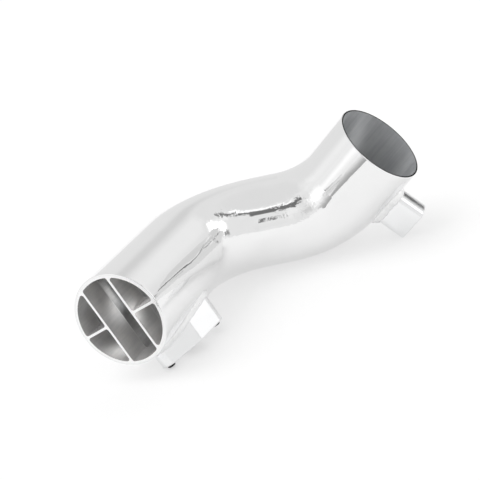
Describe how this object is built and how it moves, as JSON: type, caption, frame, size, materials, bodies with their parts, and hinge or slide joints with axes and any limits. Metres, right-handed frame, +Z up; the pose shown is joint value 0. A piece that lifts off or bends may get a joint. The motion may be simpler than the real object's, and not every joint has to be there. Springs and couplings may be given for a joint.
{
  "type": "cold air intake pipe",
  "caption": "Bent aluminium air intake pipe with a cell straightener in its mouth, a welded air flow sensor block and a welded mounting boss.",
  "frame": {"origin": "centre of the front mouth, where the straightener sits", "axes": "+Z up with the pipe lying as it comes to rest; +X along the front leg into the pipe, seen from above; the rear leg leaves towards -Y and rises"},
  "size_m": [0.2428, 0.2196, 0.115],
  "materials": {
    "polished_aluminium": "mirror polished",
    "machined_aluminium": "fine machined",
    "polished_block": "polished",
    "weld_metal": "bright weld bead",
    "dark_steel": "black oxide"
  },
  "bodies": {
    "root": {"intake_tube": "polished_aluminium", "air_straightener": "machined_aluminium", "sensor_block": "polished_block", "sensor_block_weld": "weld_metal", "mounting_boss": "polished_block", "mounting_boss_weld": "weld_metal", "front_sensor_screw": "dark_steel", "rear_sensor_screw": "dark_steel"}
  },
  "joints": []
}
